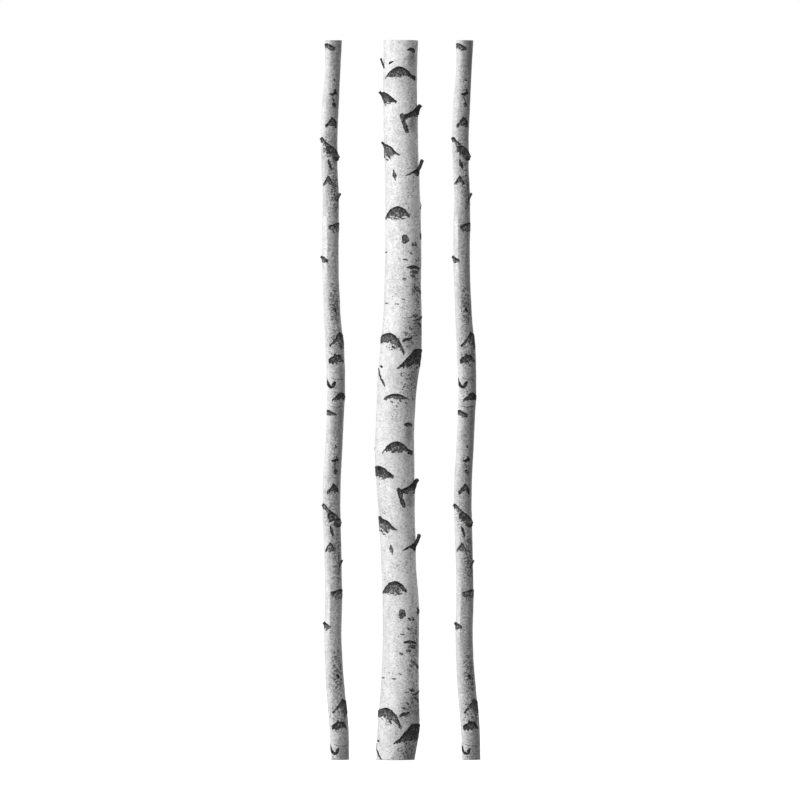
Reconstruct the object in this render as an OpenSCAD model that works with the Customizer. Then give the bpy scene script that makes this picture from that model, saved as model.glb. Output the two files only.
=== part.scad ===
// Set of three natural birch poles standing in a row: one thick, one slim on each side.
// Every pole is a crooked round stem with white outer bark, inner bark and wood under it,
// dark corky branch scars let into the outer bark, and short dead twig stubs rooted in the wood.
// Millimetres, +Z up, front towards -Y, origin at the centre of the thick pole's sawn foot.

/* [Set] */
// Length of every pole, sawn square at both ends
pole_length = 2000; // [1960:5:2040]
// Distance from the thick pole's foot to the left slim pole's foot
left_spacing = 154; // [145:1:200]
// Distance from the thick pole's foot to the right slim pole's foot
right_spacing = 211; // [190:1:260]

/* [Bark] */
// Thickness of the white outer bark on the thick pole
thick_outer_bark = 3; // [2:0.5:4]
// Thickness of the brown inner bark on the thick pole
thick_inner_bark = 4; // [3:0.5:6]
// Thickness of the white outer bark on a slim pole
slim_outer_bark = 1.5; // [1:0.25:2]
// Thickness of the brown inner bark on a slim pole
slim_inner_bark = 2; // [1.5:0.25:3]
// How far a scar stands proud of the thick pole's bark
thick_scar_proud = 2; // [1:0.5:3]
// How far a scar stands proud of a slim pole's bark
slim_scar_proud = 1.25; // [0.5:0.25:2]

/* [Depth] */
// How much of the stems' bend in depth is kept, where 0 is straight
bend_in_depth = 1; // [0:0.1:1]

/* [Hidden] */

thick_sides = 24;
slim_sides = 14;
ring_gap = 90;
stub_sides = 8;

bark_white = [0.88, 0.88, 0.87];
bark_inner = [0.55, 0.36, 0.22];
wood_cream = [0.86, 0.77, 0.62];
scar_black = [0.17, 0.16, 0.16];
stub_grey = [0.30, 0.29, 0.28];

// Stations up a stem: [height, sideways, depth, radius over the bark], from the foot to the top.
thick_stem = [
    [0, 0, 0, 53], [60, 7, 1, 57], [120, 9, 2, 57.5], [190, 12, 4, 53.5], [270, 14, 6, 51],
    [400, 15, 9, 51], [470, 13, 10, 50], [540, 9, 9, 48.5], [670, 4, 6, 50], [800, -1, 1, 53.5],
    [900, -2, -4, 54], [1000, 2, -8, 54], [1070, 8, -10, 56], [1140, 15, -10, 57.5],
    [1210, 19, -8, 54], [1300, 20, -4, 51], [1450, 22, 4, 50], [1600, 19, 9, 47.5],
    [1750, 15, 10, 47], [1870, 13, 7, 47], [2000, 15, 2, 48]
];
slim_stem = [
    [0, 0, 0, 25], [70, -2, 3, 26], [140, -8, 7, 26.5], [210, -14, 11, 25], [330, -20, 16, 24],
    [460, -18, 17, 23.5], [600, -21, 11, 24], [740, -24, 1, 24.5], [860, -18, -7, 24],
    [940, -14, -12, 23.5], [1010, -11, -15, 24.5], [1080, -12, -15, 25], [1150, -15, -12, 25.5],
    [1210, -20, -8, 23.5], [1340, -26, 3, 22.5], [1470, -27, 12, 23], [1540, -25, 15, 22.5],
    [1620, -29, 16, 22], [1750, -30, 13, 23], [1850, -25, 7, 23], [1930, -20, 2, 21.5],
    [2000, -18, 0, 23.5]
];

// Scars that face the front, on the upper stretch of a pole. They come again on the lower stretch.
// Each is [height of the crown, sideways place of its middle, half width, drop, fill]. Fill 1 closes
// the scar flat along its base, and a small fill leaves only a narrow brow.
thick_front_scars = [
    [1980, 44, 12, 10, 0.9], [1926, 13, 42, 34, 0.55], [1858, -32, 44, 33, 0.9],
    [1822, 58, 42, 36, 0.5], [1788, 27, 8, 42, 1], [1717, -30, 44, 37, 0.8],
    [1640, 56, 30, 18, 0.4], [1637, -3, 5, 24, 1], [1537, -3, 39, 34, 0.8],
    [1458, 27, 11, 23, 1], [1371, 50, 22, 12, 0.7], [1186, -19, 43, 60, 0.45],
    [1141, 61, 54, 56, 0.8]
];
slim_front_scars = [
    [1990, -38, 21, 17, 0.8], [1785, -24, 16, 25, 0.95], [1730, -49, 21, 25, 0.6],
    [1710, -21, 15, 28, 1], [1668, -28, 5, 18, 1], [1622, -33, 14, 22, 0.7],
    [1491, -10, 19, 22, 0.9], [1402, -47, 20, 20, 1], [1188, 0, 23, 42, 0.7],
    [1127, -9, 22, 27, 0.8]
];
// Scars that come only once: one at the front, and those round the back as
// [height, direction, half width, drop, fill], with the direction in degrees from the front.
thick_low_scar = [1017, -2, 32, 17, 0.9];
slim_low_scar = [1022, 0, 20, 26, 0.9];
thick_back_scars = [
    [1790, -160, 40, 32, 0.7], [1560, 130, 36, 28, 0.8], [1300, 165, 44, 36, 0.7],
    [900, -145, 46, 40, 0.6], [640, 150, 38, 30, 0.8], [250, -170, 42, 34, 0.7]
];
slim_back_scars = [
    [1830, -150, 16, 22, 0.7], [1560, 175, 17, 22, 0.8], [1290, 140, 16, 20, 0.9],
    [830, -165, 18, 24, 0.7], [430, 160, 17, 22, 0.8]
];

// Twig stubs: [height, sideways place, radius at the root, radius at the tip, reach, rise].
// Reach and rise are from the surface of the bark to the tip, outwards and upwards.
thick_flake = [1921, -31, 3.5, 2, 8, 26];
thick_twigs = [
    [1838, -32, 5, 3.5, 11, 10], [1809, 58, 6, 4, 12, 12], [1706, -29, 5, 3, 7, 9],
    [1632, 61, 6.5, 5, 13, 35]
];
slim_twigs = [
    [1720, -52, 3.5, 2.5, 5, 8], [1676, -11, 6.5, 5, 6, 3], [1554, -7, 3, 2, 6, 17],
    [1396, -49, 3.5, 2.5, 5, 6]
];

// How far down the lower stretch repeats the upper one, and how far sideways.
thick_repeat = [1041, -8];
slim_repeat = [1018, 6];

// A mark's row, with its sideways place turned into the direction that it faces on the stem.
function facing(stem, row, drop = 0, shift = 0) =
    let (z = row[0] - drop, side = (row[1] + shift - along(stem, z, 1)) / along(stem, z, 3))
    [z, asin(max(-0.97, min(0.97, side))), for (k = [2:len(row) - 1]) row[k]];

function twice(stem, rows, repeat) = concat(
    [for (row = rows) facing(stem, row)],
    [for (row = rows) facing(stem, row, repeat[0], repeat[1])]
);

thick_scars = concat(
    twice(thick_stem, thick_front_scars, thick_repeat),
    [facing(thick_stem, thick_low_scar)], thick_back_scars
);
slim_scars = concat(
    twice(slim_stem, slim_front_scars, slim_repeat),
    [facing(slim_stem, slim_low_scar)], slim_back_scars
);
thick_stubs = concat(
    [facing(thick_stem, thick_flake)], twice(thick_stem, thick_twigs, thick_repeat)
);
slim_stubs = twice(slim_stem, slim_twigs, slim_repeat);

// ---- Stem shape ----

// Slope of column k at station i, from its neighbours.
function slope(stem, i, k) =
    let (a = max(i - 1, 0), b = min(i + 1, len(stem) - 1))
    (stem[b][k] - stem[a][k]) / (stem[b][0] - stem[a][0]);

// Column k of the stem at height z, on a smooth curve through the stations.
function along(stem, z, k, i = 0) =
    (i < len(stem) - 2 && z > stem[i + 1][0]) ? along(stem, z, k, i + 1) :
    let (
        rise = stem[i + 1][0] - stem[i][0],
        t = (z - stem[i][0]) / rise,
        a = stem[i][k], b = stem[i + 1][k],
        ma = slope(stem, i, k) * rise, mb = slope(stem, i + 1, k) * rise
    )
    a * (2 * t * t * t - 3 * t * t + 1) + ma * (t * t * t - 2 * t * t + t)
    + b * (3 * t * t - 2 * t * t * t) + mb * (t * t * t - t * t);

function centre(stem, z, turn) = [along(stem, z, 1), turn * bend_in_depth * along(stem, z, 2), z];

function heights() = let (n = ceil(pole_length / ring_gap)) [for (i = [0:n]) pole_length * i / n];

// Points of every ring, from the foot up. The grow value adds to the radius.
function rings(stem, sides, turn, grow) = [
    for (z = heights()) let (c = centre(stem, min(z, 2000), turn), r = along(stem, z, 3) + grow)
        for (s = [0:sides - 1]) [c.x + r * cos(360 * s / sides), c.y + r * sin(360 * s / sides), z]
];

// Quads of one wall of rings whose points start at index first.
function wall(sides, rows, first, outward) = [
    for (j = [0:rows - 2], s = [0:sides - 1])
        let (a = first + j * sides + s, b = first + j * sides + (s + 1) % sides)
        outward ? [a, a + sides, b + sides, b] : [b, b + sides, a + sides, a]
];

module stem_solid(stem, sides, turn, grow) {
    rows = len(heights());
    polyhedron(
        points = rings(stem, sides, turn, grow),
        faces = concat(
            wall(sides, rows, 0, true),
            [[for (s = [0:sides - 1]) s]],
            [[for (s = [sides - 1:-1:0]) (rows - 1) * sides + s]]
        )
    );
}

module stem_tube(stem, sides, turn, grow_out, grow_in) {
    rows = len(heights());
    inner = rows * sides;
    top = (rows - 1) * sides;
    polyhedron(
        points = concat(rings(stem, sides, turn, grow_out), rings(stem, sides, turn, grow_in)),
        faces = concat(
            wall(sides, rows, 0, true),
            wall(sides, rows, inner, false),
            [for (s = [0:sides - 1]) let (n = (s + 1) % sides) [s, n, inner + n, inner + s]],
            [for (s = [0:sides - 1]) let (n = (s + 1) % sides)
                [top + s, inner + top + s, inner + top + n, top + n]]
        )
    );
}

// ---- Scars and stubs ----

// Brow-shaped outline, crown up, with its crown at the origin.
module brow(half_width, height, fill) {
    steps = 4;
    function arch(t, h) = [half_width * t, -height + h * (1 - t * t)];
    polygon(concat(
        [for (i = [-steps:steps]) arch(i / steps, height)],
        [for (i = [steps - 1:-2:1 - steps]) arch(i / steps, height * (1 - fill))]
    ));
}

// The block that a scar fills, standing out square from the stem.
module scar_block(stem, turn, scar) {
    z = scar[0];
    r = along(stem, z, 3);
    translate(centre(stem, z, turn))
        rotate([0, 0, scar[1] - 90])
            translate([0.15 * r, 0, 0])
                rotate([90, 0, 90])
                    linear_extrude(height = r)
                        brow(min(scar[2], 0.93 * r), scar[3], scar[4]);
}

module scar_blocks(stem, turn, scars) {
    for (scar = scars) scar_block(stem, turn, scar);
}

// A stub with its knot: it starts inside the wood and leans up and out through the bark.
module stub(stem, turn, twig) {
    z = twig[0];
    r = along(stem, z, 3);
    reach = twig[4];
    rise = twig[5];
    out = norm([reach, rise]);
    root = 0.45 * r;
    lean = atan2(reach, rise);
    translate(centre(stem, z, turn))
        rotate([0, 0, twig[1] - 90])
            translate([r, 0, 0])
                rotate([0, lean, 0])
                    translate([0, 0, -root])
                        cylinder(h = root + out, r1 = twig[2], r2 = twig[3], $fn = stub_sides);
}

module stubs(stem, turn, twigs) {
    for (twig = twigs) stub(stem, turn, twig);
}

// ---- Pieces of a pole ----

module wood(stem, sides, turn, bark, twigs) {
    color(wood_cream) difference() {
        stem_solid(stem, sides, turn, -bark);
        stubs(stem, turn, twigs);
    }
}

module inner_bark(stem, sides, turn, outer, bark, twigs) {
    color(bark_inner) difference() {
        stem_tube(stem, sides, turn, -outer, -bark);
        stubs(stem, turn, twigs);
    }
}

module outer_bark(stem, sides, turn, outer, twigs, scars) {
    color(bark_white) difference() {
        stem_tube(stem, sides, turn, 0, -outer);
        stubs(stem, turn, twigs);
        scar_blocks(stem, turn, scars);
    }
}

module branch_scars(stem, sides, turn, outer, proud, twigs, scars) {
    color(scar_black) difference() {
        intersection() {
            stem_tube(stem, sides, turn, proud, -outer);
            scar_blocks(stem, turn, scars);
        }
        stubs(stem, turn, twigs);
    }
}

module thick_wood() {
    wood(thick_stem, thick_sides, 1, thick_outer_bark + thick_inner_bark, thick_stubs);
}

module thick_inner() {
    inner_bark(thick_stem, thick_sides, 1, thick_outer_bark,
        thick_outer_bark + thick_inner_bark, thick_stubs);
}

module thick_outer() {
    outer_bark(thick_stem, thick_sides, 1, thick_outer_bark, thick_stubs, thick_scars);
}

module thick_branch_scars() {
    branch_scars(thick_stem, thick_sides, 1, thick_outer_bark, thick_scar_proud, thick_stubs,
        thick_scars);
}

module slim_wood(turn) {
    wood(slim_stem, slim_sides, turn, slim_outer_bark + slim_inner_bark, slim_stubs);
}

module slim_inner(turn) {
    inner_bark(slim_stem, slim_sides, turn, slim_outer_bark,
        slim_outer_bark + slim_inner_bark, slim_stubs);
}

module slim_outer(turn) {
    outer_bark(slim_stem, slim_sides, turn, slim_outer_bark, slim_stubs, slim_scars);
}

module slim_branch_scars(turn) {
    branch_scars(slim_stem, slim_sides, turn, slim_outer_bark, slim_scar_proud, slim_stubs,
        slim_scars);
}

// Places a slim pole's piece. The right pole's bend in depth is turned the other way.
module at_side(side) {
    translate([side == "left" ? -left_spacing : right_spacing, 0, 0]) children();
}

function turn_of(side) = side == "left" ? 1 : -1;

// ---- Nodes ----

thick_wood();
thick_inner();  // thick_inner_bark
thick_outer();  // thick_outer_bark
thick_branch_scars();
for (i = [1:len(thick_stubs)])
    color(stub_grey) stub(thick_stem, 1, thick_stubs[i - 1]);

for (side = ["left", "right"]) {
    turn = turn_of(side);
    at_side(side) slim_wood(turn);
    at_side(side) slim_inner(turn);
    at_side(side) slim_outer(turn);
    at_side(side) slim_branch_scars(turn);
    for (i = [1:len(slim_stubs)])
        at_side(side) color(stub_grey) stub(slim_stem, turn, slim_stubs[i - 1]);
}
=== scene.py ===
"""Three natural birch poles in a row: bark, corky branch scars, dead twigs and sawn ends.

Everything is in metres in the frame's axes: +Z up, the front towards -Y. Marks on the bark are
written in millimetres from their own pole's foot, as [sideways, height, ...] seen from the front.
"""

import math

import bpy
import numpy as np
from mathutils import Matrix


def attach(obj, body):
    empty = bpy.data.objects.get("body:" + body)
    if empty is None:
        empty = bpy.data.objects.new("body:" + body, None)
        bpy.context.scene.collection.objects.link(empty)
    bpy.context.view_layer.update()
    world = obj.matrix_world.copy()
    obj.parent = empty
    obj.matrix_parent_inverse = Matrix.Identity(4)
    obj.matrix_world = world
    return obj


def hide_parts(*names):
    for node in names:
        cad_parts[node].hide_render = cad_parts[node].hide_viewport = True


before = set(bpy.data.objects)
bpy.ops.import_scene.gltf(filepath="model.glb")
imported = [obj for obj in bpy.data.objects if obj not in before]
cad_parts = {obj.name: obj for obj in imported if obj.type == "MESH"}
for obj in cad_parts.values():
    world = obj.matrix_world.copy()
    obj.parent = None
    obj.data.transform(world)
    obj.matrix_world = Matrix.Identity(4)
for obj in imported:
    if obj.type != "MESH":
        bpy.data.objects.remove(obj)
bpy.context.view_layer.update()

MM = 0.001

# ---------------------------------------------------------------------------------------------
# Marks on the bark. A brow is a dark corky scar: points along its top edge, each [x, z, drop],
# where drop is how far the dark reaches down. A stroke is a line: [x, z, width]. The number after
# the points is the tone of what lies under the brow's black rim, from 0, black, to 1, mid grey.
# ---------------------------------------------------------------------------------------------

THICK_BROWS = [
    ([[31, 1973, 3], [38, 1977, 8], [47, 1978, 12], [55, 1971, 7]], 0.3),
    (
        [
            [-29, 1893, 3], [-22, 1903, 5], [-16, 1912, 13], [-9, 1918, 21], [-1, 1923, 26],
            [8, 1926, 29], [18, 1925, 28], [27, 1920, 23], [35, 1913, 15], [43, 1905, 11],
            [50, 1901, 14], [57, 1898, 13],
        ],
        0.45,
    ),
    (
        [
            [-62, 1847, 6], [-50, 1856, 24], [-39, 1858, 33], [-31, 1856, 33], [-21, 1851, 27],
            [-11, 1842, 17], [5, 1829, 4],
        ],
        0.35,
    ),
    (
        [
            [16, 1786, 8], [24, 1792, 12], [40, 1799, 16], [52, 1808, 24], [61, 1817, 35],
            [72, 1817, 40], [84, 1806, 26], [96, 1786, 6],
        ],
        0.5,
    ),
    (
        [
            [-62, 1692, 6], [-52, 1707, 22], [-40, 1716, 36], [-34, 1716, 37], [-28, 1712, 33],
            [-17, 1707, 27], [-7, 1699, 16], [2, 1688, 8], [14, 1680, 2],
        ],
        0.8,
    ),
    (
        [
            [26, 1623, 2], [35, 1628, 4], [46, 1635, 7], [58, 1642, 15], [68, 1644, 19],
            [78, 1638, 12], [87, 1626, 3],
        ],
        0.3,
    ),
    (
        [
            [-28, 1503, 4], [-22, 1517, 12], [-14, 1528, 22], [-5, 1535, 28], [6, 1538, 30],
            [16, 1536, 27], [25, 1530, 21], [33, 1520, 12], [40, 1510, 5],
        ],
        0.45,
    ),
    ([[30, 1368, 3], [40, 1372, 7], [52, 1373, 9], [68, 1366, 5]], 0.4),
    (
        [
            [-43, 1160, 10], [-41, 1168, 12], [-37, 1178, 21], [-28, 1184, 27], [-16, 1186, 30],
            [-5, 1182, 33], [5, 1173, 28], [12, 1163, 24], [17, 1151, 18], [21, 1140, 13],
            [25, 1131, 6],
        ],
        0.62,
    ),
    (
        [
            [2, 1086, 2], [10, 1094, 6], [21, 1104, 15], [31, 1116, 26], [42, 1128, 37],
            [52, 1139, 46], [61, 1142, 48], [76, 1139, 44],
            [90, 1129, 30], [102, 1112, 12], [110, 1098, 3],
        ],
        0.25,
    ),
]
THICK_LOW_BROW = (
    [
        [-32, 1005, 3], [-22, 1012, 8], [-11, 1016, 13], [3, 1017, 15], [17, 1014, 12],
        [25, 1009, 7], [31, 1003, 3],
    ],
    0.7,
)
THICK_STROKES = [
    ([[18, 1790, 13], [21, 1779, 15], [23, 1769, 11], [27, 1759, 14], [31, 1748, 12]], 0.35),
    ([[-5, 1635, 6], [-4, 1629, 11], [-2, 1621, 11], [-1, 1615, 4]], 0.6),
    ([[27, 1450, 19], [28, 1447, 22], [26, 1443, 18]], 0.5),
    ([[22, 1337, 8], [26, 1336, 7]], 0.7),
    ([[-28, 1269, 4], [-23, 1269, 4]], 0.5),
    ([[0, 1267, 3], [7, 1266, 5]], 0.3),
    ([[51, 1235, 7], [58, 1234, 9]], 0.5),
    ([[35, 1229, 2.5], [44, 1230, 3]], 0.5),
    ([[57, 1222, 4], [66, 1225, 7], [74, 1231, 8]], 0.35),
    ([[61, 1215, 4], [67, 1211, 7], [71, 1204, 5]], 0.5),
    ([[70, 1461, 5], [71, 1455, 8], [71, 1449, 6]], 0.3),
    ([[-19, 1508, 4], [-12, 1505, 4]], 0.5),
    ([[-4, 1504, 4], [3, 1503, 4]], 0.5),
    ([[14, 1507, 4], [19, 1503, 5], [25, 1504, 4]], 0.5),
    ([[-31, 1679, 5], [-27, 1674, 5]], 0.2),
    ([[-21, 1682, 5], [-18, 1677, 6], [-14, 1672, 5]], 0.2),
    ([[-25, 1669, 5], [-20, 1667, 5]], 0.3),
    ([[4, 1158, 4], [8, 1150, 5]], 0.6),
    ([[-8, 1149, 5], [-3, 1143, 6]], 0.6),
    ([[46, 1434, 7], [49, 1430, 8]], 0.7),
    ([[55, 1436, 6], [57, 1431, 8]], 0.6),
    ([[42, 1409, 5], [44, 1406, 6]], 0.7),
    ([[22, 1391, 4], [32, 1389, 5]], 0.8),
    ([[50, 1357, 9], [58, 1355, 12]], 0.75),
    ([[43, 1346, 7], [48, 1344, 8]], 0.7),
    ([[55, 1313, 9], [61, 1308, 11]], 0.75),
    ([[67, 1305, 8], [70, 1298, 8]], 0.6),
    ([[49, 1304, 6], [52, 1301, 7]], 0.8),
    ([[18, 1281, 3], [25, 1278, 3.5]], 0.8),
    ([[39, 1200, 6], [43, 1197, 7]], 0.8),
    ([[27, 1187, 6], [32, 1185, 7]], 0.8),
    ([[23, 1164, 7], [30, 1169, 10], [37, 1169, 9], [43, 1172, 6]], 0.1),
    ([[-41, 1094, 6], [-38, 1093, 7]], 0),
    ([[25, 1076, 1.5], [19, 1075, 2], [14, 1070, 2.5], [19, 1065, 1.5]], 0.5),
    (
        [
            [-46, 1086, 4], [-44, 1072, 5], [-41, 1061, 5], [-36, 1051, 6], [-32, 1044, 5],
            [-30, 1038, 3],
        ],
        0.2,
    ),
]
THICK_LONE_STROKES = [
    ([[-16, 1936, 7], [-11, 1938, 7], [-7, 1940, 4]], 0),
    ([[-29, 1411, 5], [-24, 1411, 4]], 0.2),
    ([[-32, 1003, 4], [-25, 1000, 4]], 0.4),
    ([[-14, 997, 4], [-9, 994, 5]], 0.6),
    ([[2, 985, 4], [4, 982, 4]], 0.7),
    ([[11, 998, 4], [15, 995, 4]], 0.6),
    ([[27, 994, 5], [31, 990, 4]], 0.5),
    ([[30, 1006, 4], [36, 1001, 5]], 0.4),
    ([[46, 1004, 4], [50, 1001, 5]], 0.6),
]

SLIM_BROWS = [
    (
        [
            [-54, 1981, 4], [-45, 1989, 13], [-37, 1992, 17], [-31, 1990, 16], [-23, 1985, 12],
            [-12, 1978, 6],
        ],
        0.4,
    ),
    ([[-24, 1822, 6], [-20, 1826, 12], [-17, 1827, 17], [-14, 1824, 12], [-11, 1819, 6]], 0.5),
    (
        [
            [-43, 1764, 9], [-36, 1769, 11], [-30, 1777, 15], [-22, 1787, 24], [-16, 1781, 21],
            [-9, 1769, 11],
        ],
        0.2,
    ),
    (
        [
            [-66, 1722, 3], [-57, 1729, 10], [-50, 1731, 14], [-44, 1725, 16], [-37, 1718, 19],
            [-30, 1711, 22], [-22, 1704, 20], [-14, 1694, 10],
        ],
        0.75,
    ),
    (
        [
            [-41, 1699, 10], [-35, 1706, 21], [-28, 1707, 28], [-20, 1703, 26], [-12, 1694, 18],
            [-4, 1686, 10], [4, 1679, 3],
        ],
        0.3,
    ),
    (
        [
            [-48, 1600, 5], [-41, 1611, 12], [-36, 1619, 19], [-33, 1624, 26], [-29, 1619, 20],
            [-25, 1611, 13], [-18, 1601, 6],
        ],
        0.6,
    ),
    (
        [
            [-34, 1483, 4], [-28, 1486, 12], [-22, 1488, 20], [-14, 1491, 25], [-7, 1493, 27],
            [1, 1491, 22], [9, 1484, 12], [17, 1474, 3],
        ],
        0.85,
    ),
    (
        [
            [-73, 1388, 3], [-65, 1397, 12], [-57, 1404, 23], [-50, 1402, 22], [-44, 1398, 17],
            [-38, 1393, 11], [-31, 1388, 5],
        ],
        0.5,
    ),
    (
        [
            [-28, 1154, 6], [-18, 1164, 8], [-10, 1176, 14], [-3, 1188, 38], [4, 1185, 42],
            [14, 1174, 30], [22, 1163, 18], [30, 1150, 4],
        ],
        0.55,
    ),
    (
        [
            [-33, 1112, 10], [-27, 1117, 15], [-20, 1121, 20], [-14, 1130, 28], [-9, 1125, 23],
            [-3, 1126, 18], [3, 1118, 11], [10, 1106, 5],
        ],
        0.2,
    ),
]
SLIM_LOW_BROW = (
    [
        [-24, 999, 4], [-16, 1006, 8], [-9, 1014, 16], [-1, 1021, 22], [6, 1020, 20], [13, 1012, 13],
        [20, 1004, 7], [26, 996, 3],
    ],
    0.1,
)
SLIM_STROKES = [
    ([[-16, 1891, 5], [-15, 1888, 6]], 0),
    ([[-25, 1850, 6], [-20, 1849, 10], [-16, 1853, 8]], 0),
    ([[-14, 1860, 5], [-12, 1853, 9]], 0),
    ([[-22, 1843, 3], [-17, 1829, 3.5]], 0.2),
    ([[-32, 1665, 5], [-30, 1659, 10], [-28, 1651, 10], [-26, 1644, 5]], 0.1),
    ([[-27, 1151, 7], [-18, 1161, 4.5], [-10, 1173, 4.5], [-3, 1187, 4]], 0),
    ([[-15, 1253, 9], [-13, 1248, 9]], 0),
    (
        [
            [-38, 1061, 4], [-35, 1050, 8], [-30, 1040, 9], [-23, 1036, 10], [-18, 1041, 13],
            [-15, 1047, 9],
        ],
        0,
    ),
    ([[-25, 1062, 2], [-14, 1058, 2.5], [0, 1058, 2], [8, 1057, 2]], 0.5),
]

SLIM_LONE_STROKES = [([[-28, 984, 2], [-12, 980, 3], [8, 984, 2.5]], 0.5)]

# Scars round the back: [height, direction in degrees from the front, half width, rise, tone].
THICK_BACK = [
    [1790, -160, 40, 32, 0.5], [1560, 130, 36, 28, 0.3], [1300, 165, 44, 36, 0.7],
    [900, -145, 46, 40, 0.4], [640, 150, 38, 30, 0.6], [250, -170, 42, 34, 0.4],
]
SLIM_BACK = [
    [1830, -150, 16, 22, 0.4], [1560, 175, 17, 22, 0.2], [1290, 140, 16, 20, 0.5],
    [830, -165, 18, 24, 0.3], [430, 160, 17, 22, 0.5],
]

# Patches where the white bark is flecked or grey: [x, z, half width, half height, strength].
THICK_FLECKS = [
    [52, 1915, 18, 45, 0.4], [12, 1900, 30, 5, 0.6], [-26, 1824, 20, 8, 0.8],
    [45, 1740, 20, 40, 0.35], [-22, 1732, 20, 14, 0.5], [-16, 1682, 22, 12, 0.9],
    [0, 1505, 30, 9, 0.85], [-4, 1445, 18, 10, 0.5], [50, 1345, 20, 24, 0.75],
    [60, 1320, 34, 180, 0.72], [-12, 1284, 24, 10, 0.5], [62, 1195, 30, 56, 0.78],
    [34, 1168, 36, 36, 0.7], [-10, 1148, 26, 16, 0.7], [46, 1050, 50, 62, 0.78],
]
THICK_GREYS = [
    [46, 1948, 16, 30, 0.55], [20, 1900, 60, 60, 0.08], [64, 1850, 34, 130, 0.18],
    [50, 1766, 20, 26, 0.6], [66, 1340, 40, 120, 0.22], [66, 1190, 34, 62, 0.62],
    [46, 1178, 34, 56, 0.5], [62, 1105, 50, 135, 0.48], [36, 1105, 50, 110, 0.2],
    [10, 1000, 70, 70, 0.1],
]
SLIM_FLECKS = [
    [-20, 1880, 16, 90, 0.45], [-18, 1845, 12, 40, 0.6], [-36, 1700, 22, 50, 0.6],
    [-24, 1645, 14, 30, 0.6], [-12, 1580, 20, 80, 0.85], [-2, 1440, 12, 90, 0.35],
    [-14, 1265, 20, 80, 0.85], [-10, 1140, 40, 70, 0.6], [-20, 1016, 22, 40, 0.6],
]
SLIM_GREYS = [
    [-10, 1960, 18, 60, 0.5], [-6, 1880, 14, 110, 0.35], [2, 1030, 20, 70, 0.3],
    [0, 962, 30, 20, 0.25],
]

# Twigs: [x, z, root radius, tip radius, reach, rise, bend sideways], in the CAD's order.
THICK_FLAKE = [-31, 1920, 3.2, 2.4, 10, 30, -1.5]
THICK_TWIGS = [
    [-33, 1846, 5.5, 3.5, 11, 11, -1], [59, 1808, 7.5, 4.8, 10, 12, 1],
    [-30, 1708, 4.5, 3.0, 7, 9, -1], [60, 1633, 5.5, 4.8, 14, 34, 2],
]
SLIM_TWIGS = [
    [-51, 1722, 3.5, 2.5, 3, 5, -1], [-12, 1678, 6.5, 5.5, 2.5, 4, 0],
    [-8, 1556, 3.6, 2.9, 9.5, 18, 1], [-50, 1395, 3.5, 2.5, 3, 4, -1],
]

# The marks of the upper stretch come again lower down: [drop, shift at the top, shift per metre].
THICK_AGAIN = [1041, -8.3, 0]
SLIM_AGAIN = [1019, 3.5, 6.0]
TOP = 1990  # the height from which the shift grows

# The slim poles' darker right side, painted shade with some greying from the weather, ends in a sharp
# edge round this height, and again lower down.
SLIM_SHADE_EDGE = 1430
SHADE_EDGE_REACH = [60, 90]  # sharp up to the first distance from there, soft from the second on

# How proud the scars stand of the bark.
THICK_PROUD = 1.9
SLIM_PROUD = 1.1

# Spacing of the points of the scars, and of the strokes along and across.
BROW_SPACING = 1.7
STROKE_SPACING = 1.3
STROKE_ACROSS = 1.1
BROW_SPREAD = 1.4  # how far a brow's crumbs reach, as a share of its drop
UNDERCUT = 1.2  # how deep a scar goes into the bark
TWIG_DEPTH = 6  # how deep a twig is rooted

# How many points go round and along: the bark, its inside, the wood and inner bark, and a twig.
THICK_GRID = (132, 650)
SLIM_GRID = (72, 700)
INSIDE_ROWS = 24
CORE_AROUND = 96
CORE_ROWS = 26
TWIG_AROUND = 20
TWIG_ROWS = 26

# Thickness of the outer and the inner bark, in metres.
THICK_BARKS = (3 * MM, 4 * MM)
SLIM_BARKS = (1.5 * MM, 2 * MM)
SWELLING = 1.6 * MM  # of the bark round a branch scar
THICK_RADIUS = 0.05  # about that of the thick pole; slimmer stems are less uneven

# ---------------------------------------------------------------------------------------------
# Numbers and curves
# ---------------------------------------------------------------------------------------------


def smoothstep(low, high, value):
    """0 up to low, 1 from high on, and an eased rise between them."""
    t = np.clip((np.asarray(value, float) - low) / (high - low), 0, 1)
    return t * t * (3 - 2 * t)


def hashed(cell, seed):
    """A number from 0 to 1 for each whole-numbered cell of a grid."""
    h = cell[..., 0] * 374761393 + cell[..., 1] * 668265263 + cell[..., 2] * 974711
    h = (h + seed * 1274126177) & 0xFFFFFFFF
    h = ((h ^ (h >> 13)) * 1103515245) & 0xFFFFFFFF
    return ((h ^ (h >> 16)) & 0xFFFF) / 65535


def noise(points, size, seed, octaves=2):
    """Smooth noise from -1 to 1 whose lumps are about size across: one number, or [x, y, z]."""
    total, weight = 0, 0
    for octave in range(octaves):
        p = points / (np.asarray(size, float) / 2**octave)
        base = np.floor(p).astype(np.int64)
        f = p - base
        f = f * f * (3 - 2 * f)
        value = 0
        for corner in np.ndindex(2, 2, 2):
            share = np.prod(np.where(corner, f, 1 - f), axis=-1)
            value = value + share * hashed(base + np.array(corner), seed + octave)
        total = total + (2 * value - 1) / 2**octave
        weight += 1 / 2**octave
    return total / weight


def through(at, stations, values):
    """A smooth curve through values at rising stations, read at each of at."""
    slopes = np.gradient(values, stations)
    i = np.clip(np.searchsorted(stations, at) - 1, 0, len(stations) - 2)
    span = stations[i + 1] - stations[i]
    t = np.clip((at - stations[i]) / span, 0, 1)
    rise = t * t * (3 - 2 * t)
    return (
        values[i] * (1 - rise)
        + values[i + 1] * rise
        + slopes[i] * span * t * (1 - t) ** 2
        - slopes[i + 1] * span * t * t * (1 - t)
    )


def length_of(points):
    """The length of a line of points, by their first two numbers."""
    return np.hypot(*np.diff(np.array(points, float)[:, :2], axis=0).T).sum()


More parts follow.
